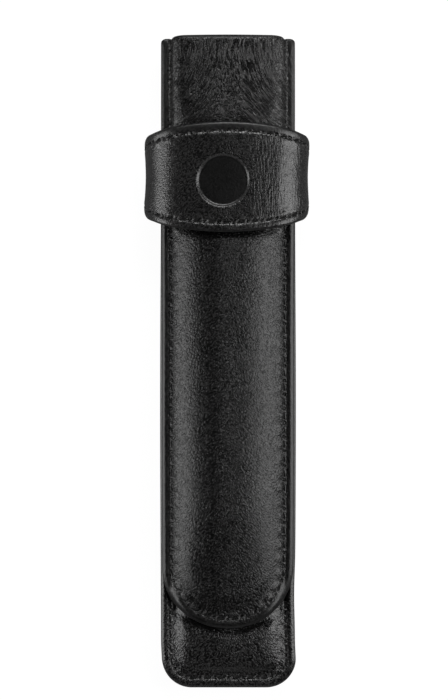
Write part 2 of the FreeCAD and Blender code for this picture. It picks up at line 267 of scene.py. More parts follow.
def flap_seam_at(run):
    """Place and direction on the flap's seam at a signed run."""
    side, a = np.sign(run), np.abs(run)
    turn = np.interp(a, tip_runs, tip_turns)
    up = np.maximum(a - tip_runs[-1], 0)
    y = tip_side_y - seam_length * np.cos(turn) + up
    x = np.where(up > 0, flap_half(y) - stitch_inset, seam_half * np.sin(turn))
    dx = np.where(up > 0, 0, seam_half * np.cos(turn))
    return side * x, y, dx, side * seam_length * np.sin(turn)


# Relief of a sewn edge: slope of its border, width and depth of its brink, place of the domed rim,
# depth and width of the stitch groove, place of the scallops inside it
border_slope = 0.49
brink_w, brink_depth = 0.14, 0.1
rim_middle, rim_w = 1.15, 0.7
groove_depth, groove_w = 0.15, 0.42
scallop_off, scallop_w = 0.9, 0.7


def seam_relief(d, run, swell, inset=stitch_inset, turn=0.95, dome=0.14):
    """What a sewn edge adds to a surface at distance d from it and length run along its seam.

    The border falls off over turn, the rim stands up by dome, and between stitches the leather
    stands up by swell.
    """
    border = np.clip(1 - d / turn, 0, 1)
    brink = np.clip(1 - d / brink_w, 0, 1)
    relief = -border_slope * turn * border ** 2 - brink_depth * quarter_round(brink)
    scallop = 0.5 - 0.5 * np.cos(2 * math.pi * run / stitch_pitch)
    pulled = d + swell * (scallop - 0.5)
    relief = relief + dome * hump(d, rim_middle, rim_w)
    relief = relief - groove_depth * hump(pulled, inset, groove_w)
    return relief + swell * scallop * hump(pulled, inset + scallop_off, scallop_w)


def off_seam(d):
    """0 over a sewn edge's relief, 1 on the open leather inside it."""
    return ease(2.6, 5.0, d)


def painted_shadow_and_press_band(d):
    """Painted shadow along the edge of what lies on the leather, where the grain is also pressed
    smoother, at distance d in from that edge.
    """
    return hump(d, -0.4, 1.1)


def loop_arc(u):
    """Half the loop's height at distance u from its middle."""
    return loop_half - u * u / (2 * loop_edge_r)


def low_drop(x, y):
    """How much flatter the front, and the flap's edge on it, lie below the pen's end."""
    return (flap_rim(x) - flap_tip_rim(x)) * ease(-36.0, pen_end_y, y)


def loop_dent(x, y):
    """How far the loop presses into the padded flap."""
    return 0.55 * ease(-2.2, 1.5, loop_arc(x) - np.abs(y - loop_y))


def tip_dent(x, y):
    """How far the front gives way along the edge of the flap's tip."""
    return 0.6 * hump(flap_inset(x, y), -0.3, 1.7) * ease(-50.0, pen_end_y, y)


def flap_top(x, y):
    """Height of the flap's outer face: padded middle, flatter towards the top fold and the tip."""
    d, run = flap_inset(x, y), flap_run(x, y)
    full = flap_out(x) + (flap_flat(x) - flap_out(x)) * ease(46.0, 66.0, y)
    full = full + (flap_tip(x) - full) * ease(-32.0, pen_end_y, y)
    rim = flap_rim(x) - low_drop(x, y)
    padded_at = 5.6 + 3.4 * ease(-44.0, -60.0, y)
    z = rim + (full - rim) * ease(2.4, padded_at, d + 3.2 * ease(50.0, 60.0, y))
    z = z - 0.24 * (z - flap_rim.base) * ease(52.0, 84.0, y)
    z = z + seam_relief(d, run, swell=0.27) - loop_dent(x, y) * ease(2.4, 5.0, d)
    return seam_z + z + 0.03 * ripple(x, y, seed=21, wave=14.0) * off_seam(d)


pocket_run = 15.0


def pocket_end(y, inset):
    """How much of the pocket's depth is left near its sewn bottom."""
    t = np.clip((-half_l + inset + pocket_run - y) / pocket_run, 0, 1)
    return np.maximum(1 - t ** 2.2, 0) ** 0.75


def wide_foot(y):
    """How much nearer to the side seams the pocket starts above the bottom."""
    return 3.3 * ease(-60.0, -50.0, y)


def pouch_height(crown, x, y, seed):
    """Height of a pouch panel over the seam plane, relief included."""
    d, run = pouch_inset(x, y), pouch_run(x, y)
    share = pocket_end(y, end_out) * ease(2.2, 5.5, d + wide_foot(y))
    drop = low_drop(x, y) + tip_dent(x, y) if crown is front_out else 0
    z = crown.base + (crown(x) - drop - crown.base) * share
    z = z + seam_relief(d, run, swell=0.22)
    return z + 0.05 * ripple(x, y, seed, wave=14.0) * off_seam(d)


def inner_height(crown, x, y, inset):
    """Height of a face inside the pouch over the seam plane."""
    d = pouch_inset(x, y)
    share = pocket_end(y, inset) * ease(2.6, 6.0, d + wide_foot(y))
    drop = low_drop(x, y) if crown in (front_mid, front_in) else 0
    return crown.base + (crown(x) - drop - crown.base) * share


def under_leather(crown, x, y, leather):
    """Height of the face under a panel's leather, which keeps its least thickness."""
    return np.minimum(inner_height(crown, x, y, end_mid), leather - least_skin)


# Mesh making
weld_distance, sharp_angle = 2e-7, math.radians(55)


def stack(x, y, z):
    return np.stack([x, y, z], -1)


def belly(points):
    """Spread the pouch a little at its middle, where a pen fills it."""
    x, y = points[:, :1], points[:, 1:2]
    x = x * (1 + 0.016 * hump(y, -12.0, 46.0))
    x = x + 0.25 * ease(-68.0, -75.0, y) - 0.25 * hump(y, -57.0, 7.0) * ease(4.0, 14.0, x)
    return np.hstack([x, points[:, 1:]])


def store_vectors(mesh, name, vectors):
    data = mesh.attributes.new(name, "FLOAT_VECTOR", "POINT").data
    data.foreach_set("vector", vectors.astype(np.float32).ravel())


def mesh_piece(name, points, faces, material, marks):
    """A mesh piece from points in mm, with soft shading and attributes its material reads."""
    mesh = bpy.data.meshes.new(name)
    points = belly(points)
    mesh.from_pydata((points * MM).tolist(), [], faces)
    store_vectors(mesh, "rest", points)
    for key, values in marks.items():
        data = mesh.attributes.new(key, "FLOAT", "POINT").data
        data.foreach_set("value", values.astype(np.float32))
    work = bmesh.new()
    work.from_mesh(mesh)
    bmesh.ops.remove_doubles(work, verts=work.verts, dist=weld_distance)
    bmesh.ops.recalc_face_normals(work, faces=work.faces)
    work.to_mesh(mesh)
    work.free()
    mesh.shade_smooth()
    mesh.set_sharp_from_angle(angle=sharp_angle)
    mesh.materials.append(material)
    piece = bpy.data.objects.new(name, mesh)
    bpy.context.scene.collection.objects.link(piece)
    return piece


def layer(name, outer, inner, material, **marks):
    """A closed layer of leather or lining between an outer and an inner grid of the same layout."""
    rows, cols = outer.shape[:2]
    n = rows * cols
    index = np.arange(n).reshape(rows, cols)
    a, b, c, d = index[:-1, :-1], index[:-1, 1:], index[1:, 1:], index[1:, :-1]
    top = np.stack([a, b, c, d], -1).reshape(-1, 4)
    low = np.stack([a, d, c, b], -1).reshape(-1, 4) + n
    rim = np.concatenate([index[0, :], index[1:, -1], index[-1, -2::-1], index[-2:0:-1, 0]])
    following = np.roll(rim, -1)
    wall = np.stack([rim, rim + n, following + n, following], -1)
    faces = np.vstack([top, low, wall]).tolist()
    points = np.vstack([outer.reshape(-1, 3), inner.reshape(-1, 3)])
    marks = {key: np.concatenate([values.ravel(), values.ravel()]) for key, values in marks.items()}
    return mesh_piece(name, points, faces, material, marks)


def seam_marks(d, run, inset=stitch_inset, painted_shadow_and_press=0):
    """What the leather reads: nearness to the edge, place across and along the seam, and pressing
    with painted shadow.
    """
    return {
        "edge": np.exp(-d / 0.7),
        "seam": d - inset,
        "stitch": run / stitch_pitch + 0 * d,
        "painted_shadow_and_press": painted_shadow_and_press + 0 * d,
    }


# Shader recipes
class Value:
    """A number socket that takes part in sums."""

    def __init__(self, recipe, socket):
        self.recipe, self.socket = recipe, socket

    def sum(self, operation, *values):
        values = {i: v for i, v in enumerate(values)}
        return self.recipe.node("ShaderNodeMath", {"operation": operation}, values)(0)

    def __add__(self, other):
        return self.sum("ADD", self, other)

    def __sub__(self, other):
        return self.sum("SUBTRACT", self, other)

    def __rsub__(self, other):
        return self.sum("SUBTRACT", other, self)

    def __mul__(self, other):
        return self.sum("MULTIPLY", self, other)

    def __truediv__(self, other):
        return self.sum("DIVIDE", self, other)

    def __pow__(self, other):
        return self.sum("POWER", self, other)

    def part(self):
        """What is left over a whole number."""
        return self.sum("FRACT", self)

    def size(self):
        return self.sum("ABSOLUTE", self)

    def between(self, lo, hi, at_lo=0.0, at_hi=1.0):
        """Smooth step of this value, from at_lo where it is lo to at_hi where it is hi."""
        settings = {"interpolation_type": "SMOOTHSTEP"}
        values = {"Value": self, 1: lo, 2: hi, 3: at_lo, 4: at_hi}
        return self.recipe.node("ShaderNodeMapRange", settings, values)(0)

    __radd__, __rmul__ = __add__, __mul__


def add_node(tree, kind, settings=None, values=None):
    """A node with its settings, and its inputs set or linked."""
    made = tree.nodes.new(kind)
    for key, value in (settings or {}).items():
        setattr(made, key, value)
    for key, value in (values or {}).items():
        if isinstance(value, bpy.types.NodeSocket):
            tree.links.new(value, made.inputs[key])
        else:
            made.inputs[key].default_value = value
    return made


class Recipe:
    """The node tree of a material or of the world."""

    def __init__(self, holder):
        self.holder = holder
        holder.use_nodes = True
        self.tree = holder.node_tree
        self.tree.nodes.clear()

    def node(self, kind, settings=None, values=None):
        """A node, as a function that gives its outputs by name or number."""
        sockets = {key: getattr(value, "socket", value) for key, value in (values or {}).items()}
        made = add_node(self.tree, kind, settings, sockets)
        return lambda key: Value(self, made.outputs[key])

    def place(self):
        """Object coordinates counted in mm."""
        values = {0: self.node("ShaderNodeTexCoord")("Object"), "Scale": 1 / MM}
        return self.node("ShaderNodeVectorMath", {"operation": "SCALE"}, values)(0)

    def split(self, vector):
        parts = self.node("ShaderNodeSeparateXYZ", None, {0: vector})
        return parts(0), parts(1), parts(2)

    def join(self, x, y, z):
        return self.node("ShaderNodeCombineXYZ", None, {0: x, 1: y, 2: z})(0)

    def noise(self, at, scale, detail=2.0, rough=0.5):
        values = {"Vector": at, "Scale": scale, "Detail": detail, "Roughness": rough}
        return self.node("ShaderNodeTexNoise", None, values)("Fac")

    def creases(self, at, width):
        """Ridges, 1 at their tops, along the level lines of a noise."""
        return 1 - (self.noise(at, 1.0, 1.0) - 0.5).size().between(0.0, width)

    def cells(self, at, scale):
        """Distance from the borders of small cells."""
        settings, values = {"feature": "DISTANCE_TO_EDGE"}, {"Vector": at, "Scale": scale}
        return self.node("ShaderNodeTexVoronoi", settings, values)("Distance")

    def attribute(self, name, kind="Fac"):
        return self.node("ShaderNodeAttribute", {"attribute_name": name})(kind)

    def tint(self, share, dark, light):
        """Colour between dark and light by a share from 0 to 1."""
        ramp = add_node(self.tree, "ShaderNodeValToRGB", None, {0: share.socket})
        for stop, colour in zip(ramp.color_ramp.elements, (dark, light)):
            stop.color = (*colour, 1)
        return Value(self, ramp.outputs[0])

    def bump(self, height, depth):
        """Normals of a height that counts in units of depth, in mm."""
        values = {"Height": height, "Distance": depth * MM, "Strength": 1.0}
        return self.node("ShaderNodeBump", None, values)(0)

    def finish(self, **values):
        """The material, with the values of its one shader."""
        named = {key.replace("_", " "): value for key, value in values.items()}
        shader = self.node("ShaderNodeBsdfPrincipled", None, named)("BSDF")
        self.node("ShaderNodeOutputMaterial", None, {"Surface": shader})
        return self.holder


def stitch_holes(mix, at, seam, stitch):
    """Needle holes, and the puckers of the leather that lie aslant between them; the puckers also
    carry painted glints.
    """
    wander = mix.noise(at, 0.7, 1.0) - 0.5
    off = ((stitch + 0.5 + wander * 0.3).part() - 0.5) * stitch_pitch
    hole = (1 - off.size().between(0.15, 0.45)) * (1 - seam.size().between(0.05, 0.35))
    pucker_and_painted_glint = 1 - ((off - seam * 0.5).size() - 0.68).size().between(0.05, 0.32)
    pucker_and_painted_glint = pucker_and_painted_glint * (1 - (seam - 0.15).size().between(0.2, 0.8))
    return hole, pucker_and_painted_glint * mix.noise(at, 1.3, 1.0).between(0.3, 0.6)


leather_light = (0.12, 0.118, 0.118)
# Strip of the flap where it turns over the top end, in y
turn_low, turn_mid, turn_high = 78.8, 78.9, 79.5


def leather_material(
    name, pale, gloss, shine, depth, plain_tip, plain_side, upper_wrinkles=False, pressed_disc=False
):
    """Black calf: pebbled grain, fine creases, burnished edges.

    pale is its lightest tone, gloss its roughness, shine its specular level and depth that of the
    grain in mm. plain_tip and plain_side say how far the burnish reaches in at the tip and sides.
    """
    mix = Recipe(bpy.data.materials.new(name))
    # The place in the closed case, in mm, which the grain keeps when the leather is drawn out
    at = mix.attribute("rest", "Vector")
    x, y, z = mix.split(at)

    # Grain that runs down and out on both sides of the middle
    drift = mix.noise(at, 0.9) - 0.5
    mirrored = (x * x + 6.0) ** 0.5
    side = (x / 4.0).between(-1.0, 1.0) * 7.0
    across = mirrored * 0.8 + y * 0.6
    along = mirrored * 0.6 - y * 0.8
    pebble = mix.cells(mix.join(across + drift * 0.5, along * 0.5 + drift * 0.3, z + side), 2.15)
    pebble = pebble.between(0.0, 0.4)
    fine = mix.noise(mix.join(across * 1.25, along * 0.7, z + side), 2.55, 1.0).between(0.33, 0.67)
    broad = mix.noise(at, 0.16)
    height = pebble * 0.6 + fine * 0.6
    tone = (fine * 0.65 + pebble * 0.3 + broad * 0.1) ** 1.6
    rough = gloss + fine * 0.06 + broad * 0.06 + y.between(turn_mid, turn_high) * 0.4

    if upper_wrinkles:
        # Wrinkles that fan out above the loop, most on the right. Their ridges are painted lighter
        # and the ground between them darker, as painted highlight and shade, and the right side is
        # painted lighter as painted light
        bent = mirrored - (y - 78.0) * (y - 78.0) * 0.028 + drift * 0.5
        ridge = mix.creases(mix.join(bent * 1.5, y * 0.2, side), 0.09)
        reach = y.between(40.0, 58.0) * (0.35 + 0.65 * x.between(-8.0, 8.0))
        height = height * (1 - reach * 0.5) + ridge * reach * 2.3
        height = height * (1 - 0.6 * y.between(turn_low, turn_high))
        tone = tone * (1 - reach * 0.6) + ridge * reach * 1.6 + x.between(2.0, 11.0) * reach * 0.4
    if pressed_disc:
        # Smooth dark disc with a painted highlight on its lip, wrinkles to its right whose ridges
        # are painted a little lighter as painted highlight, and the loop's left end painted lighter
        # as a painted highlight
        from_disc = ((x - disc_x) * (x - disc_x) + (y - disc_y) * (y - disc_y)) ** 0.5
        open_field = from_disc.between(disc_r - 0.5, disc_r + 0.2)
        painted_lip_highlight = 1 - (from_disc - disc_r).size().between(0.1, 0.45)
        ridge = mix.creases(mix.join(x * 1.3 + drift * 0.5, y * 0.2, side), 0.13)
        reach = x.between(2.0, 9.0) * open_field * 0.8
        painted_left_highlight = 1 - x.between(-14.0, -10.0)
        height = (height * (1 - reach * 0.4) + ridge * reach * 1.2) * (0.3 + 0.7 * open_field)
        tone = (tone + ridge * reach * 0.2) * (0.1 + 0.9 * open_field) + painted_lip_highlight * 0.8 + painted_left_highlight * 0.35
        rough = rough + (1 - open_field) * 0.04 - painted_left_highlight * 0.03

    # Burnished edge, painted shadow along the edges of the flap's tip and the loop where the grain
    # is also pressed smoother, and stitch holes
    edge, painted_shadow_and_press = mix.attribute("edge"), mix.attribute("painted_shadow_and_press")
    upper = y.between(50.0, 60.0)
    plain = y.between(pen_end_y, -48.0) * (plain_side - plain_tip) + plain_tip
    plain = upper * (0.9 - plain_side) + plain
    smooth = edge.between(0.03, 0.15) * plain + edge.between(0.35, 0.7) * (1 - plain)
    height = height * (1 - smooth * 0.75) * (1 - painted_shadow_and_press * 0.3)
    tone = tone * (1 - smooth * 0.3) * (1 - painted_shadow_and_press * 0.95)
    hole, pucker_and_painted_glint = stitch_holes(mix, at, mix.attribute("seam"), mix.attribute("stitch"))
    relief = height * depth + pucker_and_painted_glint * (0.12 - 0.1 * upper) - hole * 0.25
    # Puckers between the stitches are painted lighter, as painted glints
    share = tone * (1 - hole) * (pale / leather_light[0]) + pucker_and_painted_glint * (0.6 - 0.4 * upper)
    return mix.finish(
        Base_Color=mix.tint(share, (0.0, 0.0, 0.0), leather_light),
        Roughness=rough + smooth * 0.1,
        Specular_IOR_Level=shine,
        Normal=mix.bump(relief, 1.0),
    )


def lining_material():
    """Dark brushed lining with a short nap."""
    mix = Recipe(bpy.data.materials.new("case_lining"))
    at = mix.place()
    nap = mix.noise(at, 6.0, 4.0, 0.7)
    tone = mix.noise(at, 0.35) * 0.6 + nap * 0.4
    return mix.finish(
        Base_Color=mix.tint(tone, (0.012, 0.012, 0.013), (0.04, 0.039, 0.038)),
        Roughness=0.85 + nap * 0.1,
        Sheen_Weight=0.25,
        Sheen_Roughness=0.5,
        Normal=mix.bump(nap, 0.12),
    )


def padding_material():
    """Dark foam with small pores."""
    mix = Recipe(bpy.data.materials.new("flap_foam"))
    pores = mix.cells(mix.place(), 2.5).between(0.0, 0.3)
    return mix.finish(
        Base_Color=mix.tint(pores, (0.03, 0.03, 0.032), (0.07, 0.07, 0.07)),
        Roughness=0.9 + pores * 0.05,
        Normal=mix.bump(pores, 0.15),
    )


def thread_material():
    """Black waxed thread, its plies running slantwise."""
    mix = Recipe(bpy.data.materials.new("black_thread"))
    twist = mix.attribute("ply")
    ply = twist.sum("PINGPONG", twist, 0.5) * 2.0
    fuzz = mix.noise(mix.place(), 9.0)
    tone = ply * 0.6 + fuzz * 0.4
    return mix.finish(
        Base_Color=mix.tint(tone, (0.001, 0.001, 0.001), (0.007, 0.007, 0.007)),
        Roughness=0.55 + fuzz * 0.15,
        Specular_IOR_Level=0.25,
        Normal=mix.bump(ply, 0.08),
    )


# These are copies of one calf; the body's is painted lighter than the flap's and the loop's, as
# painted light
flap_leather = leather_material(
    "flap_black_calf", pale=0.029, gloss=0.19, shine=0.5, depth=0.06,
    plain_tip=0.65, plain_side=0.75, upper_wrinkles=True,
)
body_leather = leather_material(
    "body_black_calf", pale=0.056, gloss=0.15, shine=0.64, depth=0.06,
    plain_tip=0.6, plain_side=0.75,
)
loop_leather = leather_material(
    "loop_black_calf", pale=0.034, gloss=0.21, shine=0.7, depth=0.035,
    plain_tip=0.15, plain_side=0.15, pressed_disc=True,
)
lining = lining_material()
foam = padding_material()
thread = thread_material()


# Flap: leather over foam over lining
fine_cols = spread(half_w)
coarse_cols = spread(half_w, fine=0.5, coarse=1.2)
# How far the faces of the lining stay below the leather's outer face
lining_top_gap, lining_low_gap = 0.4, 0.7
pad_t, pad_clear = 0.75, 0.02


def flap_skin():
    x, y = flap_plan(fine_cols, fold_y, pitch=0.33)
    d = flap_inset(x, y)
    top = flap_top(x, y)
    under = flap_mid(x) - low_drop(x, y) + (padding_out(x) - flap_mid(x)) * ease(4.2, 5.5, d)
    under = np.minimum(seam_z + under, top - least_skin)
    # Painted shadow, and pressed grain, just below the loop's lower edge
    painted_shadow_and_press = painted_shadow_and_press_band(loop_arc(x) + (y - loop_y)) * ease(16.0, 11.0, np.abs(x))
    marks = seam_marks(d, flap_run(x, y), painted_shadow_and_press=painted_shadow_and_press)
    return layer("flap_leather_skin", stack(x, y, top), stack(x, y, under), flap_leather, **marks)


def flap_lining_skin():
    x, y = flap_plan(coarse_cols, fold_y, pitch=2.0)
    x_in = x * lining_share
    top, drop = flap_top(x, y), low_drop(x, y)
    return layer(
        "flap_lining_skin",
        stack(x_in, y, np.minimum(seam_z + flap_mid(x) - drop, top - lining_top_gap)),
        stack(x_in, y, np.minimum(seam_z + flap_in(x) - drop, top - lining_low_gap)),
        lining,
    )


def flap_foam_pad():
    x, y = flap_plan(coarse_cols, fold_y, pitch=2.5)
    x = x * (1 - pad_inset / half_w)
    y = fold_y + (y - fold_y) * (1 - pad_inset / (fold_y - tip_y))
    face = flap_top(x, y)
    low = np.minimum(seam_z + flap_mid(x) - low_drop(x, y) + pad_clear, face - 0.36)
    thick = pad_t * ease(pad_inset, 5.3, flap_inset(x, y)) + pad_clear
    top = np.minimum(low + thick, face - 0.15)
    return layer("flap_foam_pad", stack(x, y, top), stack(x, y, low), foam)


flap = flap_skin()
flap_suede = flap_lining_skin()
flap_foam = flap_foam_pad()


# Back panel running on over the top fold, as one skin
def fold_end(x):
    """How far the fold reaches in plan: full over the crown, a little less at the rims."""
    ax = np.abs(x)
    bow = 0.1 + 0.15 * (ax / 12.5) ** 2
    corner = 0.75 * quarter_round(math.sqrt(0.98) * np.clip((ax - 10.6) / 3.1, 0, 1))
    notch = 0.2 * hump(ax, 13.85, 0.3)
    border = 0.9 * quarter_round(np.clip(1 - (half_w - ax) / 1.3, 0, 1))
    return half_l - bow - corner - notch - border


# How square the fold's side view is: 2 is a half ellipse
fold_square = 16.0


def fold_turn(x, low, high, end, turns):
    """Rows of points round the fold, from the back's height low to the front's height high."""
    turn = np.linspace(-math.pi / 2, math.pi / 2, turns)[1:-1, None]
    middle, half = (low + high) / 2, (high - low) / 2
    y = fold_y + (end - fold_y) * np.cos(turn) ** (2 / fold_square)
    z = middle + half * np.sign(np.sin(turn)) * np.abs(np.sin(turn)) ** (2 / fold_square)
    return np.repeat(x[None, :], len(turn), 0), y + 0 * z, z


def back_and_fold(s, pitch, turns, low_z, high_z, end):
    """Grid from the back's bottom edge, over the fold, to the flap."""
    x, y = pouch_plan(s, fold_y, pitch, turns=36)
    x, y = x[::-1], y[::-1]
    back = stack(x, y, low_z(x, y))
    row = half_w * s
    at_fold = np.full_like(row, fold_y)
    turned = stack(*fold_turn(row, low_z(row, at_fold), high_z(row, at_fold), end(row), turns))
    front_row = stack(row, at_fold, high_z(row, at_fold))[None]
    return np.vstack([back, turned, front_row])


def back_height(x, y):
    return pouch_height(back_out, x, y, seed=36)


def back_face(x, y):
    return seam_z - back_height(x, y)


def back_under(x, y):
    return seam_z - under_leather(back_mid, x, y, back_height(x, y))


def back_skin():
    outer = back_and_fold(fine_cols, 0.6, 80, back_face, flap_top, fold_end)
    inner = back_and_fold(
        fine_cols, 0.6, 80,
        back_under,
        lambda x, y: np.minimum(seam_z + padding_out(x), flap_top(x, y) - least_skin),
        lambda x: fold_end(x) - leather_t,
    )
    x, y, z = outer[..., 0], outer[..., 1], outer[..., 2]
    turned = (y > fold_y - 0.1) & (z > seam_z)
    run = np.where(turned, flap_run(x, y), pouch_run(x, y))
    marks = seam_marks(pouch_inset(x, y), run)
    return layer("back_leather_skin", outer, inner, flap_leather, **marks)


lining_cols = coarse_cols * lining_share
# How far the lining hangs back from the leather inside the fold
fold_slack = 0.8


def back_lining_face(back_crown, back_end, flap_crown, gap, inside):
    """One face of the lining of the back and the fold."""
    return back_and_fold(
        lining_cols, 2.0, 40,
        lambda x, y: seam_z - inner_height(back_crown, x, y, back_end),
        lambda x, y: np.minimum(seam_z + flap_crown(x), flap_top(x, y) - gap),
        lambda x: fold_end(x) - inside - fold_slack,
    )


back = back_skin()
back_suede = layer(
    "back_lining_skin",
    back_lining_face(back_mid, end_mid, flap_mid, lining_top_gap, leather_t),
    back_lining_face(back_in, end_in, flap_in, lining_low_gap, rim_t),
    lining,
)


# Front panel of the pouch
def front_skin():
    x, y = pouch_plan(fine_cols, mouth_y, pitch=0.4, turns=60)
    from_mouth = mouth_y - y
    brink = 0.5 * quarter_round(np.clip(1 - from_mouth / 0.7, 0, 1))
    groove = 0.14 * hump(from_mouth, hem_inset, 0.4)
    top = pouch_height(front_out, x, y, seed=46) - brink - groove
    under = under_leather(front_mid, x, y, top)
    # Painted shadow, and pressed grain, along the edge of the flap's tip
    painted_shadow_and_press = painted_shadow_and_press_band(flap_inset(x, y)) * ease(-46.0, -54.0, y)
    marks = seam_marks(pouch_inset(x, y), pouch_run(x, y), painted_shadow_and_press=painted_shadow_and_press)
    outer, inner = stack(x, y, seam_z + top), stack(x, y, seam_z + under)
    return layer("front_leather_skin", outer, inner, body_leather, **marks)


def front_lining_skin():
    x, y = pouch_plan(lining_cols, mouth_y - 0.2, pitch=2.0, turns=14)
    return layer(
        "front_lining_skin",
        stack(x, y, seam_z + inner_height(front_mid, x, y, end_mid)),
        stack(x, y, seam_z + inner_height(front_in, x, y, end_in)),
        lining,
    )


front = front_skin()
front_suede = front_lining_skin()

# Loop: a strap bent over the flap, its ends turned in under the rims
strap_side = strap_out.half_length()
strap_end = strap_side + loop_bend_r * math.pi / 2
strap_end_half = 8.0
# The strap's edges follow an arc up to edge_run, fade out of it over edge_fade, and from round_from
# on the corners drop by round_drop
edge_run, edge_fade, round_from, round_drop = 17.0, 5.0, 21.0, 1.4


def strap_reach(u):
    """Half the strap's height at arc length u."""
    u = np.abs(u)
    faded = edge_run + edge_fade * np.tanh(np.maximum(u - edge_run, 0) / edge_fade)
    corner = np.clip((u - round_from) / (strap_side - round_from), 0, 1)
    reach = loop_arc(np.minimum(u, faded)) - round_drop * corner ** 2
    return reach + (strap_end_half - reach) * ease(strap_side, strap_end, u)


def strap_line(u):
    """Place and tilt of the strap's outer line, with its turn in at both ends."""
    x, z, tilt = strap_out.at_length(np.clip(u, -strap_side, strap_side))
    side = np.sign(u)
    a = np.maximum(np.abs(u) - strap_side, 0) / loop_bend_r
    below = np.abs(u) > strap_side
    bend_x = strap_out.foot - loop_bend_r
    x = np.where(below, side * (bend_x + loop_bend_r * np.cos(a)), x)
    z = np.where(below, loop_bend_r - loop_bend_r * np.sin(a), z)
    return x, z, np.where(below, side * (math.pi / 2 + a), tilt)


def strap_point(u, v, lift):
    """Point of the strap at arc length u, place v across, lifted along its normal."""
    x, z, tilt = strap_line(u)
    outward = ease(14.0, 22.0, np.abs(u))
    waist = 0.3 * outward * (1 - ease(0.0, 9.0, np.abs(v)))
    low = ease(-6.0, -12.0, v)
    x = x - np.sign(u) * (waist + 0.5 * low * outward) + loop_x - 0.1 * low + 0.008 * v
    return stack(x + lift * np.sin(tilt), loop_y + v, seam_z + z + lift * np.cos(tilt))


def strap_lift(u, v):
    """Relief on the strap's outer face."""
    d = strap_reach(u) - np.abs(v)
    run = u + loop_stitch_shift
    lift = seam_relief(d, run, swell=0.08, inset=loop_stitch_inset, turn=0.6, dome=0.05)
    from_disc = np.hypot(strap_line(u)[0] + loop_x - disc_x, loop_y + v - disc_y)
    lift = lift - disc_depth * ease(disc_r + 0.3, disc_r - 0.4, from_disc)
    return lift + 0.04 * ripple(u, v, seed=61, wave=12.0) * off_seam(d)


def strap_grid(end, pitch, rows, trim=0.0):
    """Arc length and place across of a grid over the strap, from end to end."""
    u_line = steps(-end, end, pitch)
    u = np.repeat(u_line[:, None], len(rows), 1)
    return u, (strap_reach(u) - trim) * rows[None, :]


def loop_skin():
    u, v = strap_grid(strap_end, 0.26, spread(loop_half, fine=0.14, coarse=0.24))
    outer = strap_point(u, v, strap_lift(u, v))
    inner = strap_point(u, v, -leather_t + 0 * u)
    marks = seam_marks(strap_reach(u) - np.abs(v), u + loop_stitch_shift, loop_stitch_inset)
    return layer("loop_leather_skin", outer, inner, loop_leather, **marks)


def loop_lining_skin():
    u, v = strap_grid(strap_side, 1.0, spread(loop_half, fine=0.6, coarse=1.4), lining_inset)
    outer = strap_point(u, v, -leather_t + 0 * u)
    inner = strap_point(u, v, -loop_t + 0 * u)
    return layer("loop_lining_skin", outer, inner, lining)


loop = loop_skin()
loop_suede = loop_lining_skin()


# Thread
plies_per_m = 2200.0


